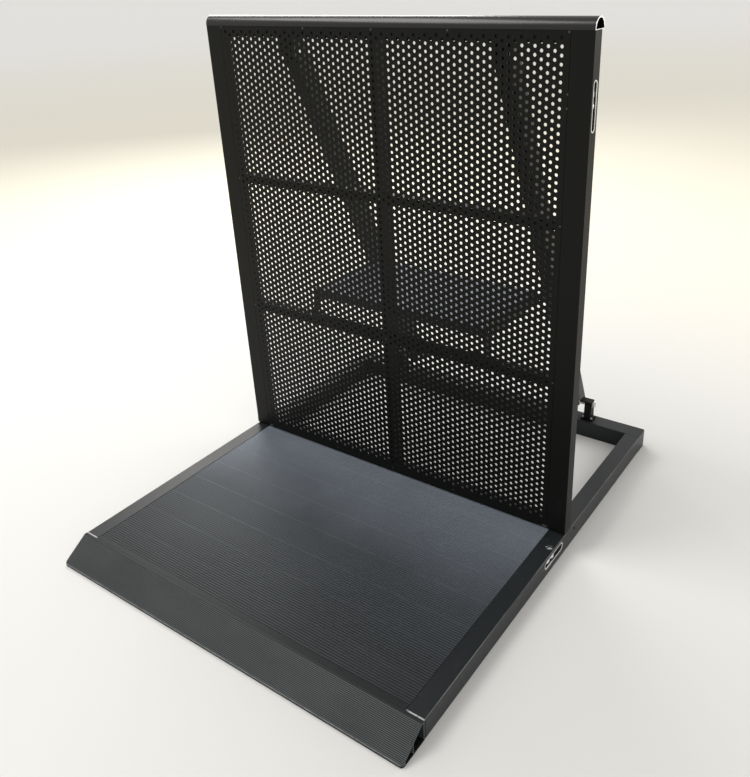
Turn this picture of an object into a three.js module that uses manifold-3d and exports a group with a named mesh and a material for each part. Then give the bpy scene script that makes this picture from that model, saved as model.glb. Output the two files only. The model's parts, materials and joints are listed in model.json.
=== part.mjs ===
// Folding crowd-control barrier for the front of a stage.
// Millimetres, +Z up, +X to the barrier's right as its audience side is faced, +Y to the stage side.
// A ribbed tread deck with a sloped nose lies on the floor, a perforated panel stands across it, two
// struts brace the panel from a bar at the back, and a guard's step hangs between the struts.
// To fold, the panel's foot slides back along the side tubes while its top comes down over the deck.
import * as THREE from 'three';
import { mergeVertices } from 'three/addons/utils/BufferGeometryUtils.js';
import Module from 'manifold-3d';

const wasm = await Module();
wasm.setup();

// ---------------------------------------------------------------- driving dimensions
const WIDTH = 1000;
const HEIGHT = 1200;
const BASE_HEIGHT = 50;
const GAP = 0.3;                 // clearance between pieces that touch
const HALF = WIDTH / 2;

// lengthwise places, measured from the panel's front face
const NOSE_TIP_Y = -684;
const NOSE_REAR_Y = -611;
const TUBE_FRONT_Y = -607;
const BASE_REAR_Y = 557;
const ORIGIN_SHIFT_Y = 51.006;   // puts the origin at the middle of the whole depth

// base frame
const SIDE_TUBE_WIDTH = 42;
const REAR_BAR_DEPTH = 50;
const TUBE_WALL = 3;
const TUBE_RADIUS = 2;
const REAR_CORNER_RADIUS = 10;
const VENT_RADIUS = 5;
const INNER_X = HALF - SIDE_TUBE_WIDTH;

// tread deck
const PLANK_PITCH = 80;
const PLANK_COUNT = 8;
const DECK_REAR_Y = 25;
const RIB_PITCH = PLANK_PITCH / 13;
const RIB_DEPTH = 1;
const PLANK_BOTTOM = 24;
const PLANK_SKIN = 3.5;
const PLANK_WEB = 3;
const LAST_PLANK_RIBS = 10;
const CROWN = 0.05;

// nose
const NOSE_CREST = 7;
const NOSE_LIP = 7;
const NOSE_WALL = 3;
const NOSE_WEB_Y = -648;
const NOSE_RIB_PITCH = 3.3;
const NOSE_RIB_DEPTH = 0.8;
const NOSE_CORNER_RADIUS = 8;

// panel
const PANEL_DEPTH = 32;
const STILE_WIDTH = 47;
const STILE_WALL = 2.5;
const STILE_TOP = 1177;
const STILE_X = HALF - STILE_WIDTH;
const SHEET_THICKNESS = 2;
const SHEET_BOTTOM = 54;
const BAR_SIZE = 20;
const TOP_BAR_BOTTOM = 1154;
const UPPER_RAIL_Z = 806;
const LOWER_RAIL_Z = 447;
const BOTTOM_BAR_Z = [51, 75];
const TOP_RAIL_RADIUS = 21;
const TOP_RAIL_WALL = 2.5;

// panel foot: the hinge line lies just inside the panel's lower front edge
const FOOT_GAP = 0.6;
const FOOT_RADIUS = 5;
const HINGE = { y: FOOT_RADIUS, z: BASE_HEIGHT + FOOT_GAP + FOOT_RADIUS };
const HINGE_PIN_RADIUS = 2.5;
const FOOT_BLOCK_TOP = 68;
const SHOE = { inner: 440, arm: 451.5, front: 25.6, rear: 35, bottom: 14 };

// struts
const STRUT_X = 286;
const STRUT_WIDTH = 38;
const STRUT_DEPTH = 50;
const STRUT_WALL = 3;
const STRUT_LEAN = Math.atan(0.467);
const STRUT_TOP_PIVOT = { y: 66, z: 1120 };
const STRUT_PIVOT_INSET = 20;    // from the strut's front face back to its top pivot
const STRUT_ABOVE_PIVOT = 26;
const STRUT_FOOT = { y: 534, z: 98 };
const STRUT_CUT_Z = 86;
const TOP_PIN_RADIUS = 5;
const TONGUE = { half: 10, radius: 15, notch: 18 };   // the bracket's tongue, inside the strut
const LUG = { inner: 325, outer: 346, half: 14, top: 107, cap: 311 };

// guard's step
const STEP = { half: 257, front: 40, rear: 308, top: 520, bottom: 485, armRear: 374 };
const STEP_AXIS = { y: 48, z: 512 };
const STEP_RAIL = 6;
const STEP_PIN_RADIUS = 4;
const STEP_PEG = { y: 365, z: 478.7, radius: 6 };

// quick locks that join one barrier to the next
const LOCK = { length: 97, depth: 38, pivotInset: 12, rim: 2.4 };
const UPPER_LOCK = { z: 1042, y: PANEL_DEPTH / 2, width: 18, blade: 6 };
const LOWER_LOCK = { y: -57.5, z: 31, width: 23, blade: 9 };
const KEY_RADIUS = 6;

// ---------------------------------------------------------------- materials
const finish = (color, roughness, metalness) =>
  new THREE.MeshStandardMaterial({ color, roughness, metalness });
const MATERIALS = {
  frame: finish(0x4a4945, 0.5, 0.3),
  panel: finish(0x1f201e, 0.45, 0.3),
  deck: finish(0x55595e, 0.55, 0.5),
  chrome: finish(0xd8dadc, 0.15, 1),
  zinc: finish(0xb4b7b8, 0.35, 1),
  aluminium: finish(0xc9cccf, 0.35, 1),
  plastic: finish(0x262728, 0.6, 0),
};

// ---------------------------------------------------------------- geometry helpers
const shapeOf = (points) => new THREE.Shape(points.map(([u, v]) => new THREE.Vector2(u, v)));

function extrude(shape, length, curveSegments = 8) {
  return new THREE.ExtrudeGeometry(shape, { depth: length, bevelEnabled: false, curveSegments });
}

// a (Y, Z) outline swept along X
function alongX(shape, x0, x1, curveSegments) {
  const turn = new THREE.Matrix4().set(0, 0, 1, x0, 1, 0, 0, 0, 0, 1, 0, 0, 0, 0, 0, 1);
  return extrude(shape, x1 - x0, curveSegments).applyMatrix4(turn);
}

// an (X, Z) outline swept along Y
function alongY(shape, y0, y1, curveSegments) {
  const turn = new THREE.Matrix4().set(1, 0, 0, 0, 0, 0, -1, y1, 0, 1, 0, 0, 0, 0, 0, 1);
  return extrude(shape, y1 - y0, curveSegments).applyMatrix4(turn);
}

// an (X, Y) outline swept along Z
function alongZ(shape, z0, z1, curveSegments) {
  return extrude(shape, z1 - z0, curveSegments).translate(0, 0, z0);
}

function block(x0, x1, y0, y1, z0, z1) {
  return new THREE.BoxGeometry(x1 - x0, y1 - y0, z1 - z0)
    .translate((x0 + x1) / 2, (y0 + y1) / 2, (z0 + z1) / 2);
}

function rod(axis, radius, from, to, centre, sides = 16) {
  const geometry = new THREE.CylinderGeometry(radius, radius, to - from, sides);
  if (axis === 'x') geometry.rotateZ(-Math.PI / 2);
  if (axis === 'z') geometry.rotateX(Math.PI / 2);
  const middle = (from + to) / 2;
  const at = { x: [middle, ...centre], y: [centre[0], middle, centre[1]], z: [...centre, middle] };
  return geometry.translate(...at[axis]);
}

function roundedRect(u0, u1, v0, v1, radius) {
  const shape = new THREE.Shape();
  shape.moveTo(u0 + radius, v0);
  shape.lineTo(u1 - radius, v0);
  shape.absarc(u1 - radius, v0 + radius, radius, -Math.PI / 2, 0);
  shape.absarc(u1 - radius, v1 - radius, radius, 0, Math.PI / 2);
  shape.absarc(u0 + radius, v1 - radius, radius, Math.PI / 2, Math.PI);
  shape.absarc(u0 + radius, v0 + radius, radius, Math.PI, 1.5 * Math.PI);
  return shape;
}

function hollowRect(u0, u1, v0, v1, radius, wall) {
  const shape = roundedRect(u0, u1, v0, v1, radius);
  shape.holes.push(roundedRect(u0 + wall, u1 - wall, v0 + wall, v1 - wall, Math.max(radius - wall, 0.8)));
  return shape;
}

// round-ended outline, centred, long way along u
function stadium(centreU, centreV, length, width) {
  return roundedRect(centreU - length / 2, centreU + length / 2, centreV - width / 2,
    centreV + width / 2, width / 2 - 0.01);
}

function toSolid(geometry) {
  const bare = geometry.clone();
  bare.deleteAttribute('normal');
  bare.deleteAttribute('uv');
  const merged = mergeVertices(bare, 1e-4);
  return new wasm.Manifold(new wasm.Mesh({
    numProp: 3,
    vertProperties: new Float32Array(merged.attributes.position.array),
    triVerts: new Uint32Array(merged.index.array),
  }));
}

function toGeometry(solid) {
  const mesh = solid.getMesh();
  const geometry = new THREE.BufferGeometry();
  geometry.setAttribute('position', new THREE.BufferAttribute(new Float32Array(mesh.vertProperties), 3));
  geometry.setIndex(new THREE.BufferAttribute(new Uint32Array(mesh.triVerts), 1));
  geometry.computeVertexNormals();
  return geometry;
}

const cut = (body, ...tools) =>
  toGeometry(tools.reduce((solid, tool) => solid.subtract(toSolid(tool)), toSolid(body)));
const common = (body, other) => toGeometry(toSolid(body).intersect(toSolid(other)));
const join = (...bodies) =>
  toGeometry(bodies.slice(1).reduce((solid, body) => solid.add(toSolid(body)), toSolid(bodies[0])));

// turns a geometry's faces round, after a reflection has left them inside out
function flipped(geometry) {
  const copy = geometry.index ? geometry.toNonIndexed() : geometry.clone();
  const array = copy.attributes.position.array;
  for (let i = 0; i < array.length; i += 9) {
    for (let k = 0; k < 3; k += 1) {
      [array[i + 3 + k], array[i + 6 + k]] = [array[i + 6 + k], array[i + 3 + k]];
    }
  }
  copy.computeVertexNormals();
  return copy;
}

// the same piece on the other side of the barrier
const mirrored = (geometry) => flipped(geometry.clone().scale(-1, 1, 1));

const barrier = new THREE.Group();
const base = new THREE.Group();
const carriage = new THREE.Group();
const panel = new THREE.Group();
const step = new THREE.Group();
barrier.position.y = ORIGIN_SHIFT_Y;
barrier.add(base, carriage, panel);
panel.add(step);

function addMesh(parent, name, geometry, material) {
  const mesh = new THREE.Mesh(geometry, material);
  mesh.name = name;
  parent.add(mesh);
  return mesh;
}

function addPair(parent, name, geometry, material) {
  addMesh(parent, `${name}_right`, geometry, material);
  addMesh(parent, `${name}_left`, mirrored(geometry), material);
}

// ---------------------------------------------------------------- base frame
// the opening in a wall that a lock body of this width passes through
const lockSlot = (centreU, centreV, width) =>
  stadium(centreU, centreV, LOCK.length + 2 * GAP, width + 2 * GAP);

function sideTube(lockSide) {
  const tube = alongY(hollowRect(INNER_X, HALF, 0, BASE_HEIGHT, TUBE_RADIUS, TUBE_WALL),
    TUBE_FRONT_Y, BASE_REAR_Y - REAR_BAR_DEPTH - GAP, 3);
  const slot = alongX(lockSlot(LOWER_LOCK.y, LOWER_LOCK.z, LOWER_LOCK.width),
    HALF - TUBE_WALL - 2, HALF + 2, 6);
  const crossHole = rod('x', 4, HALF - TUBE_WALL - 2, HALF + 2, [58, 34]);
  const keyHole = rod('z', KEY_RADIUS, BASE_HEIGHT - TUBE_WALL - 2, BASE_HEIGHT + 2,
    [HALF - LOCK.pivotInset, LOWER_LOCK.y]);
  return lockSide ? cut(tube, slot, crossHole, keyHole) : cut(tube, slot, crossHole);
}

// the bar across the back, its two rear corners rounded, its ends closed and vented underneath
function rearBar() {
  const front = BASE_REAR_Y - REAR_BAR_DEPTH;
  const r = REAR_CORNER_RADIUS;
  const plan = new THREE.Shape();
  plan.moveTo(-HALF, front - 1);
  plan.lineTo(HALF, front - 1);
  plan.absarc(HALF - r, BASE_REAR_Y - r, r, 0, Math.PI / 2);
  plan.absarc(-HALF + r, BASE_REAR_Y - r, r, Math.PI / 2, Math.PI);
  const outer = alongX(roundedRect(front, BASE_REAR_Y, 0, BASE_HEIGHT, TUBE_RADIUS), -HALF, HALF, 3);
  const body = common(outer, alongZ(plan, -1, BASE_HEIGHT + 1, 4));
  const end = HALF - TUBE_WALL - 1;
  const inner = alongX(roundedRect(front + TUBE_WALL, BASE_REAR_Y - TUBE_WALL - 1, TUBE_WALL,
    BASE_HEIGHT - TUBE_WALL, 1), -end, end, 2);
  const vent = (x) => rod('z', VENT_RADIUS, -1, TUBE_WALL + 1, [x, (front + BASE_REAR_Y) / 2], 12);
  return cut(body, inner, vent(-end + 60), vent(end - 60));
}

function buildBaseFrame() {
  addMesh(base, 'side_tube_right', sideTube(true), MATERIALS.frame);
  addMesh(base, 'side_tube_left', mirrored(sideTube(false)), MATERIALS.frame);
  addMesh(base, 'rear_bar', rearBar(), MATERIALS.frame);
  const plate = block(INNER_X + 1, HALF - 0.5, NOSE_REAR_Y + GAP, TUBE_FRONT_Y - GAP, 0.5, BASE_HEIGHT);
  addPair(base, 'tube_front_plate', plate, MATERIALS.aluminium);
  const ledge = shapeOf([[INNER_X - GAP, 3], [INNER_X - GAP, PLANK_BOTTOM - GAP],
    [INNER_X - 28, PLANK_BOTTOM - GAP], [INNER_X - 28, PLANK_BOTTOM - 4],
    [INNER_X - 4, PLANK_BOTTOM - 4], [INNER_X - 4, 3]]);
  addPair(base, 'deck_ledge', alongY(ledge, NOSE_REAR_Y + GAP, DECK_REAR_Y), MATERIALS.frame);
}

// ---------------------------------------------------------------- tread deck
// how far a very slightly crowned surface has fallen away at a share of its length
const crownDrop = (share) => CROWN * (2 * share - 1) ** 2;

// grooves cut down into a faintly crowned top: front is the low-Y edge
function ribbedTop(front, ribs, pitch, height, depth) {
  const points = [];
  for (let i = 0; i < ribs; i += 1) {
    for (const [along, deep] of [[0.2, 1], [0.3, 0], [0.8, 0], [0.9, 1]]) {
      const y = front + (i + along) * pitch;
      points.push([y, height - deep * depth - crownDrop((i + along) / ribs)]);
    }
  }
  return points;
}

function plankOutline(front, rear, ribFront, ribs) {
  const floor = BASE_HEIGHT - PLANK_SKIN;
  const middle = (front + rear) / 2;
  const top = ribbedTop(ribFront, ribs, RIB_PITCH, BASE_HEIGHT, RIB_DEPTH);
  const haunch = floor - 0.4;
  const under = [[rear - PLANK_WEB, floor], [middle + PLANK_WEB / 2, haunch]];
  under.push([middle + PLANK_WEB / 2, PLANK_BOTTOM], [middle - PLANK_WEB / 2, PLANK_BOTTOM]);
  under.push([middle - PLANK_WEB / 2, haunch], [front + PLANK_WEB, floor]);
  const lead = ribFront > front + 1 ? [[front, BASE_HEIGHT], [ribFront, BASE_HEIGHT]] : [];
  const start = lead.length ? lead : [[front, BASE_HEIGHT - RIB_DEPTH]];
  return shapeOf([[front + PLANK_WEB, PLANK_BOTTOM], [front, PLANK_BOTTOM], ...start, ...top,
    [rear, BASE_HEIGHT - RIB_DEPTH], [rear, PLANK_BOTTOM], [rear - PLANK_WEB, PLANK_BOTTOM], ...under]);
}

function buildDeck() {
  const x = INNER_X - GAP;
  for (let i = 0; i < PLANK_COUNT; i += 1) {
    const rear = DECK_REAR_Y - i * PLANK_PITCH - GAP;
    const last = i === PLANK_COUNT - 1;
    const front = last ? NOSE_REAR_Y + GAP : rear - PLANK_PITCH + 2 * GAP;
    const ribs = last ? LAST_PLANK_RIBS : 13;
    const ribFront = last ? rear - LAST_PLANK_RIBS * RIB_PITCH : front;
    addMesh(base, `tread_plank_${i + 1}`, alongX(plankOutline(front, rear, ribFront, ribs), -x, x),
      MATERIALS.deck);
  }
}

// the nose's ribbed outline and the two hollows either side of its inner web
function noseProfile() {
  const crest = new THREE.Vector2(NOSE_REAR_Y - NOSE_CREST, BASE_HEIGHT);
  const toe = new THREE.Vector2(NOSE_TIP_Y + 1, NOSE_LIP);
  const run = toe.clone().sub(crest);
  const down = run.clone().normalize();
  const out = new THREE.Vector2(down.y, -down.x);
  const ribs = Math.floor(run.length() / NOSE_RIB_PITCH);
  const points = [[NOSE_REAR_Y, 0], [NOSE_REAR_Y, BASE_HEIGHT], [crest.x, crest.y]];
  for (let i = 0; i < ribs; i += 1) {
    for (const [along, deep] of [[0.35, 0], [0.5, 1], [0.85, 1], [1, 0]]) {
      const spot = crest.clone().addScaledVector(down, (i + along) * NOSE_RIB_PITCH);
      spot.addScaledVector(out, -deep * NOSE_RIB_DEPTH - crownDrop((i + along) / ribs));
      points.push([spot.x, spot.y]);
    }
  }
  points.push([NOSE_TIP_Y, NOSE_LIP - 1], [NOSE_TIP_Y, 1.5], [NOSE_TIP_Y + 1.5, 0]);
  const skin = NOSE_WALL + NOSE_RIB_DEPTH;
  const cavityToe = toe.clone().addScaledVector(out, -skin).addScaledVector(down, -9);
  const cavityCrest = crest.clone().addScaledVector(out, -skin).addScaledVector(down, 1);
  const roof = (y) => cavityCrest.y - (cavityCrest.x - y) * (down.y / down.x);
  const webRear = NOSE_WEB_Y + NOSE_WALL / 2;
  const webFront = NOSE_WEB_Y - NOSE_WALL / 2;
  const rear = NOSE_REAR_Y - NOSE_WALL;
  const rearCavity = [[rear, NOSE_WALL], [rear, cavityCrest.y], [cavityCrest.x, cavityCrest.y],
    [webRear, roof(webRear)], [webRear, NOSE_WALL]];
  const frontCavity = [[webFront, NOSE_WALL], [webFront, roof(webFront)],
    [cavityToe.x, roof(cavityToe.x)], [cavityToe.x, NOSE_WALL]];
  return { outline: shapeOf(points), cavities: [shapeOf(rearCavity), shapeOf(frontCavity)] };
}

function buildNose() {
  const plan = new THREE.Shape();
  const r = NOSE_CORNER_RADIUS;
  plan.moveTo(HALF, NOSE_REAR_Y + 1);
  plan.lineTo(-HALF, NOSE_REAR_Y + 1);
  plan.absarc(-HALF + r, NOSE_TIP_Y + r, r, Math.PI, 1.5 * Math.PI);
  plan.absarc(HALF - r, NOSE_TIP_Y + r, r, 1.5 * Math.PI, 2 * Math.PI);
  const { outline, cavities } = noseProfile();
  const rounded = common(alongX(outline, -HALF, HALF), alongZ(plan, -1, BASE_HEIGHT + 1, 5));
  const bores = cavities.map((cavity) => alongX(cavity, -HALF - 1, HALF + 1));
  addMesh(base, 'nose_ramp', cut(rounded, ...bores), MATERIALS.deck);
}

// ---------------------------------------------------------------- strut feet on the rear bar
function buildStrutLugs() {
  const foot = block(LUG.inner - 7, LUG.outer + 7, STRUT_FOOT.y - 17, STRUT_FOOT.y + LUG.half,
    BASE_HEIGHT + GAP, BASE_HEIGHT + 5);
  const plate = new THREE.Shape();
  plate.moveTo(STRUT_FOOT.y - LUG.half, BASE_HEIGHT + 2);
  plate.lineTo(STRUT_FOOT.y + LUG.half, BASE_HEIGHT + 2);
  plate.lineTo(STRUT_FOOT.y + 10, STRUT_FOOT.z);
  plate.absarc(STRUT_FOOT.y, LUG.top - 10, 10, 0, Math.PI);
  const hole = rod('x', 5.3, LUG.inner - 2, LUG.outer + 2, [STRUT_FOOT.y, STRUT_FOOT.z]);
  const cap = block(LUG.cap, LUG.outer, STRUT_FOOT.y - 12, STRUT_FOOT.y + 12, LUG.top - 2.5, LUG.top + 2);
  const body = join(foot, alongX(plate, LUG.inner, LUG.outer, 5), cap);
  addPair(base, 'strut_lug', cut(body, hole), MATERIALS.panel);
  const strutFace = STRUT_X + STRUT_WIDTH / 2;
  const centre = [STRUT_FOOT.y, STRUT_FOOT.z];
  const head = rod('x', 8.5, LUG.outer + GAP, LUG.outer + 7, centre, 6);
  const shank = rod('x', 5, strutFace + 0.8, LUG.outer + 1, centre);
  const collar = rod('x', 6.2, strutFace + 0.8, LUG.inner - GAP, centre);
  addPair(base, 'strut_foot_bolt', join(head, shank, collar), MATERIALS.zinc);
}

// ---------------------------------------------------------------- quick locks
// housing and receiver are drawn about their own centre: u along the slot, v across it, x outwards
function lockBody(width, cavityDepth) {
  const body = alongX(stadium(0, 0, LOCK.length, width), -LOCK.depth, 0, 5);
  const mouth = stadium(0, 0, LOCK.length - 2 * LOCK.rim, width - 2 * LOCK.rim);
  return { body, cavity: alongX(mouth, -cavityDepth, 1, 4) };
}

function lockHousing({ width }) {
  const { body, cavity } = lockBody(width, 26);
  const drive = rod('z', KEY_RADIUS + 0.5, -3, width, [-LOCK.pivotInset, 0]);
  return cut(body, cavity, drive);
}

function lockReceiver({ width }) {
  const { body, cavity } = lockBody(width, 30);
  const pin = rod('z', 4.5, -width / 2 + 1, width / 2 - 1, [-11, 0], 12);
  return join(cut(body, cavity), pin);
}

// hooked cam with the hexagon-socketed drive that turns it: it turns about v through the pivot
function lockCam({ width, blade }, driveTop) {
  const hook = new THREE.Shape();
  hook.absarc(0, 0, 10, Math.PI, 1.75 * Math.PI);
  hook.lineTo(24, -9);
  hook.absarc(24, 0, 9, -Math.PI / 2, Math.PI / 2);
  hook.lineTo(17, 9);
  hook.absarc(14.5, 4.5, 4.6, Math.PI / 3, 1.25 * Math.PI, true);
  hook.lineTo(7, 7.2);
  hook.absarc(0, 0, 10, Math.PI / 4, Math.PI);
  const arm = alongZ(hook, -blade / 2, blade / 2, 6);
  const spindle = rod('z', KEY_RADIUS, -width / 2 + LOCK.rim + 0.5, driveTop, [0, 0], 16);
  const socket = rod('z', 3.4, driveTop - 5, driveTop + 1, [0, 0], 6);
  return cut(join(arm, spindle), socket);
}

// the cam's blade lies along the slot at rest, with its arm towards -u
const camRest = (geometry) => geometry.rotateZ(-Math.PI / 2);

function buildLowerLock() {
  const centre = [HALF, LOWER_LOCK.y, LOWER_LOCK.z];
  addMesh(base, 'lower_lock_housing', lockHousing(LOWER_LOCK).translate(...centre), MATERIALS.chrome);
  addMesh(base, 'lower_lock_receiver', mirrored(lockReceiver(LOWER_LOCK).translate(...centre)),
    MATERIALS.chrome);
  const driveTop = BASE_HEIGHT - TUBE_WALL - LOWER_LOCK.z - 0.5;
  const cam = addMesh(base, 'lower_lock_cam', camRest(lockCam(LOWER_LOCK, driveTop)), MATERIALS.zinc);
  cam.position.set(HALF - LOCK.pivotInset, LOWER_LOCK.y, LOWER_LOCK.z);
}

function buildUpperLock() {
  const upright = (geometry) => geometry.rotateX(-Math.PI / 2);
  const centre = [HALF, UPPER_LOCK.y, UPPER_LOCK.z];
  addMesh(panel, 'upper_lock_housing', upright(lockHousing(UPPER_LOCK)).translate(...centre),
    MATERIALS.chrome);
  addMesh(panel, 'upper_lock_receiver', mirrored(upright(lockReceiver(UPPER_LOCK)).translate(...centre)),
    MATERIALS.chrome);
  const driveTop = PANEL_DEPTH - STILE_WALL - UPPER_LOCK.y - 0.5;
  const turned = upright(camRest(lockCam(UPPER_LOCK, driveTop)));
  const cam = addMesh(panel, 'upper_lock_cam', turned, MATERIALS.zinc);
  cam.position.set(HALF - LOCK.pivotInset, UPPER_LOCK.y, UPPER_LOCK.z);
}

// ---------------------------------------------------------------- panel
function stile(lockSide) {
  const tube = alongZ(hollowRect(STILE_X, HALF, 0, PANEL_DEPTH, 1.2, STILE_WALL),
    FOOT_BLOCK_TOP - 1, STILE_TOP, 3);
  const foot = new THREE.Shape();
  foot.moveTo(HINGE.y, HINGE.z - FOOT_RADIUS);
  foot.lineTo(PANEL_DEPTH - 1, HINGE.z - FOOT_RADIUS);
  foot.lineTo(PANEL_DEPTH, HINGE.z - FOOT_RADIUS + 1);
  foot.lineTo(PANEL_DEPTH, FOOT_BLOCK_TOP);
  foot.lineTo(0, FOOT_BLOCK_TOP);
  foot.lineTo(0, HINGE.z);
  foot.absarc(HINGE.y, HINGE.z, FOOT_RADIUS, Math.PI, 1.5 * Math.PI);
  const whole = join(tube, alongX(foot, STILE_X, HALF, 5));
  const bore = rod('x', HINGE_PIN_RADIUS + 0.3, STILE_X - 2, STILE_X + 24, [HINGE.y, HINGE.z]);
  const slot = alongX(lockSlot(UPPER_LOCK.z, UPPER_LOCK.y, UPPER_LOCK.width), 0, STILE_WALL + 4, 6);
  const turn = new THREE.Matrix4().set(1, 0, 0, HALF - STILE_WALL - 2, 0, 0, 1, 0, 0, 1, 0, 0, 0, 0, 0, 1);
  slot.applyMatrix4(turn);
  const keyHole = rod('y', KEY_RADIUS, PANEL_DEPTH - STILE_WALL - 2, PANEL_DEPTH + 2,
    [HALF - LOCK.pivotInset, UPPER_LOCK.z]);
  const tools = lockSide ? [bore, flipped(slot), keyHole] : [bore, flipped(slot)];
  return cut(whole, ...tools);
}

function topRail() {
  const half = (radius, floor) => {
    const shape = new THREE.Shape();
    const centre = HEIGHT - TOP_RAIL_RADIUS;
    shape.moveTo(TOP_RAIL_RADIUS - radius, floor);
    shape.lineTo(TOP_RAIL_RADIUS + radius, floor);
    shape.absarc(TOP_RAIL_RADIUS, centre, radius, 0, Math.PI);
    return shape;
  };
  const outer = half(TOP_RAIL_RADIUS, STILE_TOP + GAP);
  outer.holes.push(half(TOP_RAIL_RADIUS - TOP_RAIL_WALL, STILE_TOP + GAP + 1.2));
  return alongX(outer, -HALF, HALF, 12);
}

function sheetOutline() {
  const x = STILE_X - GAP;
  const notchX = SHOE.inner - 1;
  const notchTop = HINGE.z + FOOT_RADIUS + 0.8;
  const top = STILE_TOP - GAP;
  return shapeOf([[-notchX, SHEET_BOTTOM], [notchX, SHEET_BOTTOM], [notchX, notchTop], [x, notchTop],
    [x, top], [-x, top], [-x, notchTop], [-notchX, notchTop]]);
}

function buildPanel() {
  addMesh(panel, 'panel_stile_right', stile(true), MATERIALS.panel);
  addMesh(panel, 'panel_stile_left', mirrored(stile(false)), MATERIALS.panel);
  addMesh(panel, 'top_rail', topRail(), MATERIALS.panel);
  addMesh(panel, 'perforated_sheet', alongY(sheetOutline(), 0, SHEET_THICKNESS), MATERIALS.panel);
  const y0 = SHEET_THICKNESS + GAP;
  const x = STILE_X - GAP;
  const half = BAR_SIZE / 2;
  const bar = (x0, x1, z0, z1) => alongX(hollowRect(y0, PANEL_DEPTH, z0, z1, 1.5, 2), x0, x1, 2);
  addMesh(panel, 'top_bar', bar(-x, x, TOP_BAR_BOTTOM, STILE_TOP - GAP), MATERIALS.panel);
  const bottomX = SHOE.inner - 1.5;
  addMesh(panel, 'bottom_bar', bar(-bottomX, bottomX, ...BOTTOM_BAR_Z), MATERIALS.panel);
  const post = hollowRect(-half, half, y0, PANEL_DEPTH, 1.5, 2);
  addMesh(panel, 'centre_post', alongZ(post, BOTTOM_BAR_Z[1] + GAP, TOP_BAR_BOTTOM - GAP, 2),
    MATERIALS.panel);
  for (const [name, z] of [['upper_rail', UPPER_RAIL_Z], ['lower_rail', LOWER_RAIL_Z]]) {
    addPair(panel, name, bar(half + GAP, x, z - half, z + half), MATERIALS.panel);
  }
}

function buildStrutTops() {
  const { y, z } = STRUT_TOP_PIVOT;
  const half = STRUT_WIDTH / 2;
  const low = TOP_BAR_BOTTOM + 1;
  const high = STILE_TOP - 2;
  const side = new THREE.Shape();
  side.moveTo(PANEL_DEPTH + GAP, low);
  side.lineTo(y - 14, z - 10);
  side.absarc(y, z, TONGUE.radius, 1.25 * Math.PI, 2.1 * Math.PI);
  side.lineTo(PANEL_DEPTH + 30, high);
  side.lineTo(PANEL_DEPTH + GAP, high);
  const tongue = alongX(side, STRUT_X - TONGUE.half, STRUT_X + TONGUE.half, 6);
  const back = block(STRUT_X - half, STRUT_X + half, PANEL_DEPTH + GAP, PANEL_DEPTH + 4, low, high);
  const hole = rod('x', TOP_PIN_RADIUS + 0.3, STRUT_X - half, STRUT_X + half, [y, z]);
  addPair(panel, 'strut_top_bracket', cut(join(back, tongue), hole), MATERIALS.panel);
  const inner = STRUT_X - half - GAP;
  const outer = STRUT_X + half + GAP;
  const shank = rod('x', TOP_PIN_RADIUS, inner - 1, outer + 1, [y, z]);
  const head = rod('x', 8, outer, outer + 3, [y, z], 16);
  const nut = rod('x', 8, inner - 4, inner, [y, z], 6);
  addPair(panel, 'strut_top_bolt', join(shank, head, nut), MATERIALS.zinc);
}

function buildCarriage() {
  const arm = new THREE.Shape();
  const radius = FOOT_RADIUS - 0.1;
  const low = BASE_HEIGHT + 0.5;
  arm.moveTo(HINGE.y, low);
  arm.lineTo(SHOE.front, low);
  arm.lineTo(SHOE.front, SHOE.bottom);
  arm.lineTo(SHOE.rear, SHOE.bottom);
  arm.lineTo(SHOE.rear, low + 2);
  arm.lineTo(SHOE.rear - 5, low + 7);
  arm.lineTo(HINGE.y + 8, low + 7);
  arm.absarc(HINGE.y, HINGE.z, radius, Math.PI / 3, 1.5 * Math.PI);
  const slab = alongX(arm, SHOE.inner, SHOE.arm, 6);
  const slider = block(SHOE.inner, INNER_X - 0.5, SHOE.front, SHOE.rear, SHOE.bottom,
    BASE_HEIGHT - 1);
  const bore = rod('x', HINGE_PIN_RADIUS + 0.3, SHOE.inner - 2, SHOE.arm + 2, [HINGE.y, HINGE.z]);
  addPair(carriage, 'panel_shoe', cut(join(slab, slider), bore), MATERIALS.plastic);
  const pin = rod('x', HINGE_PIN_RADIUS, SHOE.inner - 1, STILE_X + 22, [HINGE.y, HINGE.z]);
  addPair(carriage, 'panel_hinge_pin', pin, MATERIALS.zinc);
}

// ---------------------------------------------------------------- struts
// drawn hanging straight down from the top pivot, then leaned back about it
function strutPlace(y, z) {
  const dy = y - STRUT_TOP_PIVOT.y;
  const dz = z - STRUT_TOP_PIVOT.z;
  const sin = Math.sin(STRUT_LEAN);
  const cos = Math.cos(STRUT_LEAN);
  return [dy * cos + dz * sin, dz * cos - dy * sin];
}

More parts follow.
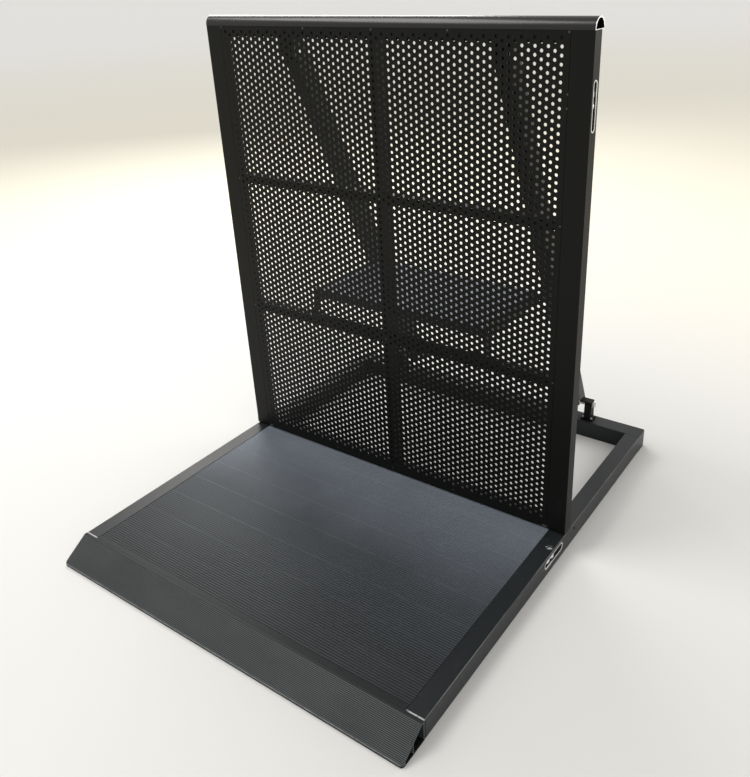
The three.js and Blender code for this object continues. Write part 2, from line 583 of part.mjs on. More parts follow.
function buildStrut(side, sign) {
  const strut = new THREE.Group();
  strut.position.set(sign * STRUT_X, STRUT_TOP_PIVOT.y, STRUT_TOP_PIVOT.z);
  strut.rotation.x = STRUT_LEAN;
  panel.add(strut);
  const half = STRUT_WIDTH / 2;
  const [footY, footZ] = strutPlace(STRUT_FOOT.y, STRUT_FOOT.z);
  const [cutY, cutZ] = strutPlace(STRUT_FOOT.y, STRUT_CUT_Z);
  const cutLine = (y) => cutZ - (y - cutY) * Math.tan(STRUT_LEAN);
  const section = hollowRect(-half, half, -STRUT_PIVOT_INSET, STRUT_DEPTH - STRUT_PIVOT_INSET, 3, STRUT_WALL);
  const tube = alongZ(section, footZ - 2 * STRUT_DEPTH, STRUT_ABOVE_PIVOT, 3);
  const below = alongX(shapeOf([[-STRUT_DEPTH, cutLine(-STRUT_DEPTH)], [-STRUT_DEPTH, footZ - 300],
    [STRUT_DEPTH, footZ - 300], [STRUT_DEPTH, cutLine(STRUT_DEPTH)]]), -half - 2, half + 2);
  const topHole = rod('x', TOP_PIN_RADIUS + 0.4, -half - 2, half + 2, [0, 0]);
  const footHole = rod('x', 5.5, -half - 2, half + 2, [footY, footZ]);
  const nose = new THREE.Shape();
  nose.moveTo(-STRUT_PIVOT_INSET - 1, STRUT_ABOVE_PIVOT + 1);
  nose.lineTo(-STRUT_PIVOT_INSET - 1, 8);
  nose.lineTo(-STRUT_PIVOT_INSET + 12, STRUT_ABOVE_PIVOT + 1);
  const chamfer = alongX(nose, -half - 2, half + 2);
  const notch = block(-TONGUE.half - 0.6, TONGUE.half + 0.6, -STRUT_PIVOT_INSET - 1,
    -STRUT_PIVOT_INSET + STRUT_WALL + 1, -TONGUE.notch, STRUT_ABOVE_PIVOT + 1);
  addMesh(strut, `strut_${side}`, cut(tube, topHole, footHole, chamfer, notch, below), MATERIALS.frame);
  const [pegY, pegZ] = strutPlace(STEP_PEG.y, STEP_PEG.z);
  const inward = half + GAP;
  const pegEnd = STRUT_X - STEP.half + STEP_RAIL + 2;
  const peg = join(rod('x', STEP_PEG.radius, inward, pegEnd, [pegY, pegZ]),
    rod('x', STEP_PEG.radius + 4, inward, inward + 3, [pegY, pegZ]));
  addMesh(strut, `step_peg_${side}`, sign > 0 ? mirrored(peg) : peg, MATERIALS.zinc);
}

// ---------------------------------------------------------------- guard's step
function buildStep() {
  const boardX = STEP.half - STEP_RAIL - GAP;
  const skin = 3;
  const lip = 22;
  const pitch = 12.2;
  const ribs = 21;
  const rearFrom = STEP.front + 4 + ribs * pitch;
  const top = ribbedTop(STEP.front + 4, ribs, pitch, STEP.top, 1.2);
  const board = shapeOf([[STEP.front, STEP.top - lip], [STEP.front, STEP.top],
    [STEP.front + 4, STEP.top], ...top, [rearFrom, STEP.top], [STEP.rear, STEP.top],
    [STEP.rear, STEP.top - lip], [STEP.rear - skin, STEP.top - lip],
    [STEP.rear - skin, STEP.top - skin - 1.2], [STEP.front + skin, STEP.top - skin - 1.2],
    [STEP.front + skin, STEP.top - lip]]);
  addMesh(step, 'step_board', alongX(board, -boardX, boardX), MATERIALS.deck);
  const rail = new THREE.Shape();
  const { y, z } = STEP_AXIS;
  rail.moveTo(STEP.front, STEP.bottom);
  rail.lineTo(STEP.armRear, STEP.bottom);
  rail.lineTo(STEP.armRear, STEP.bottom + 16);
  rail.lineTo(STEP.rear + 14, STEP.bottom + 16);
  rail.lineTo(STEP.rear, STEP.top);
  rail.lineTo(STEP.front, STEP.top);
  const hole = rod('x', STEP_PIN_RADIUS + 0.3, STEP.half - STEP_RAIL - 2, STEP.half + 2, [y, z]);
  addPair(step, 'step_side_rail', cut(alongX(rail, STEP.half - STEP_RAIL, STEP.half), hole),
    MATERIALS.frame);

  const ear = new THREE.Shape();
  const low = LOWER_RAIL_Z - BAR_SIZE / 2;
  ear.moveTo(PANEL_DEPTH + GAP, low);
  ear.lineTo(PANEL_DEPTH + 12, low);
  ear.lineTo(y + 9, z - 12);
  ear.absarc(y, z, 9, 0, Math.PI);
  ear.lineTo(PANEL_DEPTH + GAP, low + BAR_SIZE + 6);
  const inner = STEP.half + 1;
  const outer = inner + 5;
  const foot = block(inner - 26, outer, PANEL_DEPTH + GAP, PANEL_DEPTH + 5, low, low + BAR_SIZE);
  const earHole = rod('x', STEP_PIN_RADIUS + 0.3, inner - 2, outer + 2, [y, z]);
  addPair(panel, 'step_bracket', cut(join(alongX(ear, inner, outer, 6), foot), earHole), MATERIALS.panel);
  const pin = rod('x', STEP_PIN_RADIUS, STEP.half - STEP_RAIL, outer + 2, [y, z]);
  addPair(panel, 'step_hinge_pin', pin, MATERIALS.zinc);
}

buildBaseFrame();
buildDeck();
buildNose();
buildStrutLugs();
buildLowerLock();
buildPanel();
buildUpperLock();
buildStrutTops();
buildCarriage();
buildStrut('right', 1);
buildStrut('left', -1);
buildStep();

export default barrier;
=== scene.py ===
"""Looks of the folding crowd barrier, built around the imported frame.

Metres, +Z up, -Y towards the crowd. Every CAD node is replaced by the same shape with softened edges, the
panel's sheet gets its holes, and rivets, screws, the key hole's ring and the weld beads are added.
"""
import json
import math

import bmesh
import bpy
from mathutils import Matrix, Vector

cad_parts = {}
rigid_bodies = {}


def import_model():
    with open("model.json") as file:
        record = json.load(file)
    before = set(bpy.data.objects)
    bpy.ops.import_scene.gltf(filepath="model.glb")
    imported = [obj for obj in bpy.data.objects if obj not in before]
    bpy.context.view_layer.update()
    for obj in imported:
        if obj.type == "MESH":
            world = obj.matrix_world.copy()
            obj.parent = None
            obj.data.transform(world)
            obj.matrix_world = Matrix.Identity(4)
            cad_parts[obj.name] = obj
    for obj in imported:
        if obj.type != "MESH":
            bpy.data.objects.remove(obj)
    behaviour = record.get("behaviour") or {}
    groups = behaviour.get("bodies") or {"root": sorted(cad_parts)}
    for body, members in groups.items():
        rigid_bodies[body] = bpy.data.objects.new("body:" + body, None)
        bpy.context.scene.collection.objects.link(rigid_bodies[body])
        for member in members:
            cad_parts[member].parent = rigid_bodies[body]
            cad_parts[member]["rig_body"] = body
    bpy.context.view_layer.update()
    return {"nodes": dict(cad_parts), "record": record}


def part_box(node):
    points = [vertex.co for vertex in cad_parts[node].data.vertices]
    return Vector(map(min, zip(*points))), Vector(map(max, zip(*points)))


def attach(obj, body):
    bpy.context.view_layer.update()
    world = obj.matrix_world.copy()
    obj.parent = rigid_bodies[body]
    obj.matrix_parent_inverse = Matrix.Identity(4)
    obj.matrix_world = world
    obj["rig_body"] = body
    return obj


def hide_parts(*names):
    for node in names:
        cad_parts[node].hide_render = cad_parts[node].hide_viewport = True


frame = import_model()
NODES = frame["nodes"]

MM = 0.001
FACE_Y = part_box("perforated_sheet")[0].y      # the panel's front face
BACK_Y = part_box("top_bar")[1].y               # the panel's back
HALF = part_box("side_tube_right")[1].x         # half the barrier's width
DECK_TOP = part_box("side_tube_right")[1].z
PROUD = 0.45 * MM                             # what may stand on the panel's face and still clear the deck


# ---------------------------------------------------------------- materials
class Shader:
    """A Principled material with its nodes added by short calls."""

    def __init__(self, name):
        self.material = bpy.data.materials.new(name)
        self.material.use_nodes = True
        self.tree = self.material.node_tree
        self.tree.nodes.clear()
        output = self.tree.nodes.new("ShaderNodeOutputMaterial")
        self.bsdf = self.tree.nodes.new("ShaderNodeBsdfPrincipled")
        self.tree.links.new(self.bsdf.outputs[0], output.inputs["Surface"])
        self.place = self.tree.nodes.new("ShaderNodeTexCoord").outputs["Object"]

    def put(self, socket, value):
        """Links an output to a socket, or sets the socket's own value."""
        if isinstance(value, bpy.types.NodeSocket):
            self.tree.links.new(value, socket)
        else:
            socket.default_value = value

    def node(self, kind, settings=None, **values):
        """Adds a node. Values are for its sockets, by name or, as i0 and i1, by number."""
        made = self.tree.nodes.new("ShaderNode" + kind)
        for key, value in (settings or {}).items():
            setattr(made, key, value)
        for key, value in values.items():
            name = key.replace("_", " ")
            self.put(made.inputs[int(name[1:])] if name[0] == "i" and name[1:].isdigit()
                     else made.inputs[name], value)
        return made

    def surface(self, **values):
        """Sets or links the Principled sockets."""
        for key, value in values.items():
            self.put(self.bsdf.inputs[key.replace("_", " ")], value)

    def scaled(self, x, y, z):
        """Object coordinates stretched along each axis."""
        return self.node("Mapping", Vector=self.place, Scale=(x, y, z)).outputs[0]

    def noise(self, scale, detail=2.0, vector=None, roughness=0.5):
        made = self.node("TexNoise", Vector=vector or self.place, Scale=scale, Detail=detail,
                         Roughness=roughness)
        return made.outputs["Fac"]

    def ramp(self, value, *stops):
        """Stops are (position, grey or colour)."""
        made = self.node("ValToRGB", Fac=value)
        elements = made.color_ramp.elements
        while len(elements) < len(stops):
            elements.new(0.5)
        for element, (position, colour) in zip(elements, stops):
            element.position = position
            grey = not hasattr(colour, "__len__")
            element.color = (colour, colour, colour, 1) if grey else (*colour, 1)
        return made.outputs["Color"]

    def math(self, operation, a, b=0.0):
        return self.node("Math", {"operation": operation}, i0=a, i1=b).outputs[0]

    def spread(self, value, low, high):
        """A 0 to 1 value spread over low to high."""
        return self.node("MapRange", Value=value, To_Min=low, To_Max=high).outputs[0]

    def mix(self, share, a, b):
        made = self.node("Mix", {"data_type": "RGBA"})
        for socket, value in (("Factor_Float", share), ("A_Color", a), ("B_Color", b)):
            target = [s for s in made.inputs if s.identifier == socket][0]
            if isinstance(value, tuple):
                value = (*value, 1)
            self.put(target, value)
        return [s for s in made.outputs if s.identifier == "Result_Color"][0]

    def axis(self, name):
        return self.node("SeparateXYZ", Vector=self.place).outputs[name]

    def bump(self, *layers):
        """Layers are (height, distance in metres), finest last."""
        normal = None
        for height, distance in layers:
            values = {"Height": height, "Distance": distance, "Strength": 1.0}
            if normal is not None:
                values["Normal"] = normal
            normal = self.node("Bump", **values).outputs[0]
        self.surface(Normal=normal)


def powder_coat(name, colour, worn, gloss, peel=1.0, dust=0.10, sheen=0.3):
    """Satin powder coat: fine orange peel, cloudy gloss, faint handling marks and a little dust."""
    s = Shader(name)
    cloud = s.noise(5.0, 4.0)
    marks = s.ramp(s.noise(38.0, 6.0, s.scaled(1.0, 1.0, 0.35), 0.7), (0.60, 0.0), (0.74, 1.0))
    specks = s.ramp(s.noise(900.0, 1.0), (0.70, 0.0), (0.78, 1.0))
    base = s.mix(s.spread(cloud, 0.0, 0.6), colour, tuple(1.35 * c for c in colour))
    base = s.mix(s.math("MULTIPLY", marks, dust), base, worn)
    base = s.mix(s.math("MULTIPLY", specks, dust), base, worn)
    rough = s.math("ADD", s.spread(cloud, gloss - 0.03, gloss + 0.05), s.math("MULTIPLY", marks, 0.10))
    s.surface(Base_Color=base, Roughness=rough, Metallic=0.0, IOR=1.5, Specular_IOR_Level=sheen)
    s.bump((s.noise(520.0, 2.0), 0.00006 * peel), (s.noise(2400.0, 1.0), 0.00001 * peel))
    return s


def tube_coat():
    """The base tubes' coat, rubbed pale along the top outer edges where barriers knock together."""
    s = powder_coat("frame_coat", (0.011, 0.0135, 0.0155), (0.10, 0.10, 0.095), 0.38, 1.2, 0.12, 0.32)
    across = s.math("ABSOLUTE", s.axis("X"))
    outer = s.math("GREATER_THAN", across, HALF - 1.0 * MM)
    upper = s.math("GREATER_THAN", s.axis("Z"), DECK_TOP - 1.0 * MM)
    low = s.math("LESS_THAN", s.axis("Z"), DECK_TOP + 1 * MM)
    rubbed = s.ramp(s.noise(45.0, 5.0, s.scaled(1.0, 0.12, 1.0), 0.65), (0.38, 0.15), (0.60, 0.9))
    edge = s.math("MULTIPLY", s.math("MULTIPLY", s.math("MULTIPLY", outer, upper), low), rubbed)
    old = s.bsdf.inputs["Base Color"].links[0].from_socket
    s.surface(Base_Color=s.mix(edge, old, (0.26, 0.265, 0.26)))
    return s.material


def rail_paint():
    """The top rail's coat, cut back to bare metal on its two sawn ends."""
    s = powder_coat("rail_coat", (0.006, 0.006, 0.006), (0.10, 0.10, 0.095), 0.24, 0.5, 0.05, 0.42)
    across = s.math("ABSOLUTE", s.axis("X"))
    bare = s.ramp(s.math("GREATER_THAN", across, HALF - 0.5 * MM), (0.0, 0.0), (1.0, 1.0))
    old = s.bsdf.inputs["Base Color"].links[0].from_socket
    s.surface(Base_Color=s.mix(bare, old, (0.72, 0.73, 0.74)), Metallic=bare)
    return s.material


def tread_metal():
    """Dark extruded tread: drawn lines along X, painted light making it paler and bluer towards the panel,
    painted shade in the rib grooves, faint worn joints.
    """
    s = Shader("tread_metal")
    drawn = s.noise(240.0, 3.0, s.scaled(0.02, 1.0, 1.0), 0.6)
    cloud = s.noise(4.0, 5.0, None, 0.6)
    grime = s.noise(60.0, 6.0, None, 0.7)
    rear = s.node("MapRange", Value=s.axis("Y"), From_Min=NOSE_REAR, From_Max=FACE_Y).outputs[0]
    # painted light: the tread grows paler and bluer towards the panel, broken up by a slow cloud
    painted_light = s.math("ADD", rear, s.spread(cloud, -0.16, 0.16))
    base = s.ramp(painted_light, (0.0, (0.014, 0.0175, 0.020)), (0.5, (0.060, 0.070, 0.083)),
                  (1.0, (0.215, 0.245, 0.300)))
    base = s.mix(s.spread(drawn, 0.0, 0.45), base, (0.085, 0.092, 0.102))
    base = s.mix(s.ramp(grime, (0.55, 0.0), (0.80, 0.16)), base, (0.15, 0.15, 0.145))
    # painted shade in the rib grooves, deepest at the front and fading towards the panel
    groove = s.math("LESS_THAN", s.axis("Z"), DECK_TOP - 0.45 * MM)
    base = s.mix(s.math("MULTIPLY", groove, s.spread(rear, 0.85, 0.15)), base, (0.004, 0.005, 0.006))
    plain = s.math("LESS_THAN", s.axis("Y"), PLAIN_BAND_Y)
    base = s.mix(s.math("MULTIPLY", plain, 0.8), base, (0.010, 0.012, 0.013))
    whole_pitches = 10.5 * PLANK_PITCH           # keeps the remainder below positive, a joint at its middle
    shifted = s.math("ADD", s.axis("Y"), whole_pitches - JOINT_Y)
    along = s.math("MODULO", shifted, PLANK_PITCH)
    near = s.math("ABSOLUTE", s.math("SUBTRACT", along, PLANK_PITCH / 2))
    edge = s.ramp(s.math("MULTIPLY", near, 1 / (3 * MM)), (0.25, 1.0), (0.45, 0.0))
    broken = s.ramp(s.noise(30.0, 4.0, s.scaled(1.0, 0.1, 0.1), 0.6), (0.30, 0.3), (0.65, 1.0))
    worn = s.math("MULTIPLY", s.math("MULTIPLY", edge, broken), s.spread(rear, 0.12, 0.42))
    base = s.mix(worn, base, (0.32, 0.34, 0.37))
    rough = s.math("ADD", s.spread(drawn, 0.42, 0.54), s.math("MULTIPLY", grime, 0.10))
    s.surface(Base_Color=base, Roughness=rough, Metallic=0.35, Specular_IOR_Level=0.4)
    s.bump((drawn, 0.00008), (s.noise(1600.0, 1.0), 0.00002))
    return s.material


def nose_metal():
    """The nose's dark slope: each fine rib lighter on its crest, and a painted highlight, broken up, along
    the front lip's top edge.
    """
    s = Shader("nose_metal")
    grime = s.noise(14.0, 6.0, s.scaled(0.5, 1.0, 1.0), 0.65)
    down = s.math("ADD", s.math("MULTIPLY", s.math("SUBTRACT", NOSE_REAR, s.axis("Y")), NOSE_RUN[0]),
                  s.math("MULTIPLY", s.math("SUBTRACT", DECK_TOP, s.axis("Z")), NOSE_RUN[1]))
    stripe = s.math("MODULO", s.math("MULTIPLY", down, 1 / NOSE_RIB_PITCH), 1.0)
    crest = s.math("SINE", s.math("MULTIPLY", stripe, math.pi))
    sloped = s.math("LESS_THAN", s.axis("Z"), DECK_TOP - 0.5 * MM)
    ribs = s.math("MULTIPLY", s.math("POWER", crest, 4.0), s.spread(grime, 0.35, 0.9))
    base = s.mix(s.spread(grime, 0.0, 1.0), (0.006, 0.0075, 0.0085), (0.013, 0.0155, 0.0175))
    base = s.mix(s.math("MULTIPLY", ribs, sloped), base, (0.175, 0.190, 0.200))
    lip_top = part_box("nose_ramp")[0].z + NOSE_LIP
    lip = s.math("LESS_THAN", s.axis("Z"), lip_top - 1 * MM)
    base = s.mix(lip, base, (0.006, 0.008, 0.0075))
    # painted highlight along the lip's top edge, broken up by noise
    edge = s.math("LESS_THAN", s.math("ABSOLUTE", s.math("SUBTRACT", s.axis("Z"), lip_top)), 0.9 * MM)
    highlight_breakup = s.ramp(s.noise(55.0, 5.0, None, 0.7), (0.35, 0.2), (0.62, 0.8))
    base = s.mix(s.math("MULTIPLY", edge, highlight_breakup), base, (0.20, 0.22, 0.22))
    s.surface(Base_Color=base, Roughness=s.spread(grime, 0.40, 0.54), Metallic=0.3, Specular_IOR_Level=0.45)
    s.bump((s.noise(240.0, 3.0, s.scaled(0.02, 1.0, 1.0), 0.6), 0.00006))
    return s.material


def bright_metal(name, colour, rough, scratch, metallic=1.0):
    """Chrome, zinc or bare aluminium, told apart by roughness and by how much they are scratched."""
    s = Shader(name)
    cloud = s.noise(70.0, 4.0)
    lines = s.noise(500.0, 3.0, s.scaled(1.0, 0.06, 0.4), 0.7)
    base = s.mix(s.ramp(cloud, (0.45, 0.0), (0.85, 0.5)), colour, tuple(0.72 * c for c in colour))
    s.surface(Base_Color=base, Roughness=s.math("ADD", s.spread(lines, rough * 0.7, rough * 1.3),
                                                s.math("MULTIPLY", cloud, scratch * 0.2)),
              Metallic=metallic)
    s.bump((lines, 0.00003 * scratch), (s.noise(1500.0, 1.0), 0.000006))
    return s


def lock_metal():
    """Chrome on the lock's rim, dull and shaded down inside it."""
    s = bright_metal("lock_chrome", (0.95, 0.955, 0.96), 0.16, 0.6, 0.45)
    inside = s.math("LESS_THAN", s.math("ABSOLUTE", s.axis("X")), HALF - 1.2 * MM)
    old = s.bsdf.inputs["Base Color"].links[0].from_socket
    s.surface(Base_Color=s.mix(inside, old, (0.055, 0.06, 0.065)))
    return s.material


def scuffed_plate():
    """The tubes' front plates: painted, with bright metal knocked bare along the top."""
    s = powder_coat("scuffed_plate", (0.012, 0.014, 0.015), (0.2, 0.2, 0.2), 0.42)
    upper = s.math("GREATER_THAN", s.axis("Z"), DECK_TOP - 1.5 * MM)
    bare = s.math("MULTIPLY", upper, s.ramp(s.noise(70.0, 4.0), (0.36, 0.15), (0.50, 1.0)))
    old = s.bsdf.inputs["Base Color"].links[0].from_socket
    s.surface(Base_Color=s.mix(bare, old, (0.42, 0.43, 0.44)))
    return s.material


def moulded_plastic(name, colour):
    """Matt moulded plastic with a fine grain."""
    s = Shader(name)
    base = s.mix(s.spread(s.noise(40.0, 4.0), 0.0, 1.0), colour, tuple(1.6 * c for c in colour))
    s.surface(Base_Color=base, Roughness=s.spread(s.noise(200.0, 2.0), 0.50, 0.66))
    s.bump((s.noise(1300.0, 2.0), 0.00004))
    return s.material


def floor_material():
    """Plain pale floor, slightly warmer away from the middle and fading into the light round it."""
    s = Shader("pale_floor")
    reach = s.node("VectorMath", {"operation": "LENGTH"}, i0=s.place).outputs["Value"]
    warm_from, warm_to = 1.0, 3.0
    fade_from, fade_to = 4.0, 16.0
    outward = s.node("MapRange", Value=reach, From_Min=warm_from, From_Max=warm_to).outputs[0]
    faded = s.node("MapRange", Value=reach, From_Min=fade_from, From_Max=fade_to).outputs[0]
    base = s.mix(outward, (0.72, 0.72, 0.715), (0.90, 0.865, 0.74))
    base = s.mix(faded, base, (0.97, 0.97, 0.97))
    s.surface(Base_Color=base, Roughness=0.8)
    return s.material


PLANK_PITCH = 80 * MM
JOINT_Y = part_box("tread_plank_1")[0].y
NOSE_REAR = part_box("nose_ramp")[1].y
PLAIN_BAND_Y = NOSE_REAR + 15 * MM            # the last plank is plain in front of its ribs
NOSE_RIB_PITCH = 3.3 * MM
NOSE_LIP = 6.5 * MM
NOSE_RUN = (0.834, 0.552)                     # how far down the slope one step back and one step down go
MATERIALS = {
    "panel_paint": powder_coat("panel_coat", (0.0035, 0.0037, 0.0032), (0.05, 0.05, 0.046), 0.45, 1.0,
                               0.10, 0.15).material,
    "frame_paint": tube_coat(),
    "deck_metal": tread_metal(),
    "nose_metal": nose_metal(),
    "bare_aluminium": scuffed_plate(),
    "lock_chrome": lock_metal(),
    "ring_chrome": bright_metal("ring_chrome", (0.88, 0.89, 0.90), 0.12, 0.5).material,
    "zinc_steel": bright_metal("zinc_steel", (0.62, 0.63, 0.63), 0.30, 1.2).material,
    "cam_steel": bright_metal("cam_steel", (0.93, 0.935, 0.94), 0.22, 0.8, 0.6).material,
    "black_plastic": moulded_plastic("black_plastic", (0.018, 0.018, 0.019)),
    "rail_paint": rail_paint(),
    "rivet_paint": powder_coat("rivet_coat", (0.012, 0.012, 0.011), (0.25, 0.25, 0.24), 0.22, 0.3, 0.4,
                               0.6).material,
}
SLOT_OF = {entry["node"]: entry["material_slot"] for entry in frame["record"]["subparts"]}


# ---------------------------------------------------------------- mesh helpers
def weigh_normals(mesh):
    """Corner normals weighted by face area, so that broad flats shade flat up to their rounded edges."""
    meeting = {}
    corners = {}
    for polygon in mesh.polygons:
        loops = list(polygon.loop_indices)
        for before, here in zip([loops[-1]] + loops[:-1], loops):
            vertex = mesh.loops[here].vertex_index
            corners[here] = polygon
            for edge in (mesh.loops[before].edge_index, mesh.loops[here].edge_index):
                if not mesh.edges[edge].use_edge_sharp:
                    meeting.setdefault((edge, vertex), []).append(here)
    neighbours = {here: [] for here in corners}
    for pair in meeting.values():
        if len(pair) == 2:
            neighbours[pair[0]].append(pair[1])
            neighbours[pair[1]].append(pair[0])
    normals = [None] * len(mesh.loops)
    for start in corners:
        if normals[start] is not None:
            continue
        fan, seen = [start], {start}
        total = Vector()
        for here in fan:
            total += corners[here].normal * corners[here].area
            fresh = [other for other in neighbours[here] if other not in seen]
            seen.update(fresh)
            fan.extend(fresh)
        for here in fan:
            normals[here] = total.normalized()
    mesh.normals_split_custom_set(normals)


def finish_mesh(obj, smooth_degrees, weighed):
    """Smooth shading, with edges sharper than the angle kept crisp."""
    mesh = obj.data
    mesh.polygons.foreach_set("use_smooth", [True] * len(mesh.polygons))
    mesh.set_sharp_from_angle(angle=math.radians(smooth_degrees))
    mesh.update()
    if weighed:
        weigh_normals(mesh)


def piece(name, bm, body, slot, material=None, smooth_degrees=40, weighed=True):
    """A new object from bm that rides on a body and takes its finish from a slot."""
    mesh = bpy.data.meshes.new(name)
    bm.to_mesh(mesh)
    bm.free()
    obj = bpy.data.objects.new(name, mesh)
    bpy.context.scene.collection.objects.link(obj)
    mesh.materials.append(MATERIALS[material or slot])
    finish_mesh(obj, smooth_degrees, weighed)
    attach(obj, body)
    return obj


def welded_copy(node):
    """A CAD node's mesh with its doubled corners welded and its flat faces whole again."""
    bm = bmesh.new()
    bm.from_mesh(NODES[node].data)
    bmesh.ops.remove_doubles(bm, verts=bm.verts, dist=0.01 * MM)
    bmesh.ops.dissolve_limit(bm, angle_limit=math.radians(0.6), verts=bm.verts, edges=bm.edges)
    return bm


def soften(bm, width, segments=2, degrees=45):
    """Rounds every edge sharper than the angle, as paint and extrusion dies leave them."""
    sharp = [e for e in bm.edges if len(e.link_faces) == 2 and e.calc_face_angle(0) > math.radians(degrees)]
    bmesh.ops.bevel(bm, geom=sharp, offset=width, offset_type="OFFSET", segments=segments, profile=0.6,
                    affect="EDGES", clamp_overlap=True)
    return bm


def refine(node, width, segments, material):
    """Replaces a CAD node with the same shape, its edges softened."""
    body = NODES[node]["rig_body"]
    slot = SLOT_OF[node]
    obj = piece(node + "_finished", soften(welded_copy(node), width, segments), body, slot, material)
    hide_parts(node)


def lathe(bm, profile, centre, axis, sides=20):
    """Adds a turned solid: profile is (radius, height) from base to tip, height along axis."""
    along = Vector(axis).normalized()
    turn = Vector((0, 0, 1)).rotation_difference(along).to_matrix()
    rings = []
    for radius, height in profile:
        ring = []
        for i in range(sides if radius > 0 else 1):
            angle = 2 * math.pi * i / sides
            spot = Vector((radius * math.cos(angle), radius * math.sin(angle), height))
            ring.append(bm.verts.new(Vector(centre) + turn @ spot))
        rings.append(ring)
    for low, high in zip(rings, rings[1:]):
        for i in range(sides):
            j = (i + 1) % sides
            corners = [low[i % len(low)], low[j % len(low)], high[j % len(high)], high[i % len(high)]]
            bm.faces.new(list(dict.fromkeys(corners)))
    if len(rings[0]) > 1:
        bm.faces.new(list(reversed(rings[0])))
    if len(rings[-1]) > 1:
        bm.faces.new(rings[-1])


def lathe_ring(bm, section, centre, sides=28):
    """Adds a closed ring about Z: section is (radius, height), going round once."""
    rings = []
    for i in range(sides):
        angle = 2 * math.pi * i / sides
        rings.append([bm.verts.new((centre[0] + r * math.cos(angle), centre[1] + r * math.sin(angle),
                                    centre[2] + h)) for r, h in section])
    for i in range(sides):
        here, there = rings[i], rings[(i + 1) % sides]
        for k in range(len(section)):
            n = (k + 1) % len(section)
            bm.faces.new([here[k], there[k], there[n], here[n]])


def rivet(bm, centre, axis, radius=3.6 * MM, height=PROUD, sides=18):
    """Low domed blind rivet, with the small hollow its mandrel leaves."""
    hole = 0.28 * radius
    profile = [(radius, -0.4 * MM), (radius, 0.2 * height), (0.86 * radius, 0.62 * height),
               (0.60 * radius, 0.92 * height), (1.25 * hole, height), (hole, 0.8 * height),
               (0.0, 0.1 * height)]
    lathe(bm, profile, centre, axis, sides)


def hex_head(bm, centre, axis, radius, height):
    """Hexagon head on a round washer, its top corners chamfered."""
    thick = 0.16 * height
    washer = [(1.35 * radius, 0), (1.35 * radius, 0.8 * thick), (1.30 * radius, thick), (0.5 * radius, thick)]
    head = [(radius, thick), (radius, 0.86 * height), (0.86 * radius, height), (0.5 * radius, height),
            (0.42 * radius, 0.9 * height)]
    lathe(bm, washer, centre, axis, 24)
    lathe(bm, head, centre, axis, 6)


def bead(bm, start, end, radius, up, ripple=1.9 * MM):
    """A weld run from start to end: overlapping puddles drawn as a rippled, flattened rod."""
    start, end = Vector(start), Vector(end)
    run = end - start
    along = run.normalized()
    high = Vector(up).normalized()
    side = along.cross(high)
    steps = max(6, int(run.length / (ripple / 4)))
    sides = 10
    rings = []
    for i in range(steps + 1):
        share = i / steps
        phase = (share * run.length / ripple) % 1.0
        swell = 0.86 + 0.14 * math.sin(math.pi * phase)
        taper = min(1.0, 0.35 + 6 * min(share, 1 - share))
        ring = []
        for k in range(sides):
            angle = 2 * math.pi * k / sides
            out = side * math.cos(angle) + high * math.sin(angle)
            ring.append(bm.verts.new(start + run * share + out * radius * swell * taper))
        rings.append(ring)
    for low, far in zip(rings, rings[1:]):
        for k in range(sides):
            n = (k + 1) % sides
            bm.faces.new([low[k], low[n], far[n], far[k]])
    bm.faces.new(list(reversed(rings[0])))
    bm.faces.new(rings[-1])


# ---------------------------------------------------------------- perforated sheet
COLUMN_STEP = 13.64 * MM
ROW_STEP = 15.9 * MM
TOP_ROW_Z = 1164.5 * MM
SIDE_COLUMNS = 32
ROWS = 69
HOLE_RADIUS = 3.6 * MM
HOLE_SIDES = 12


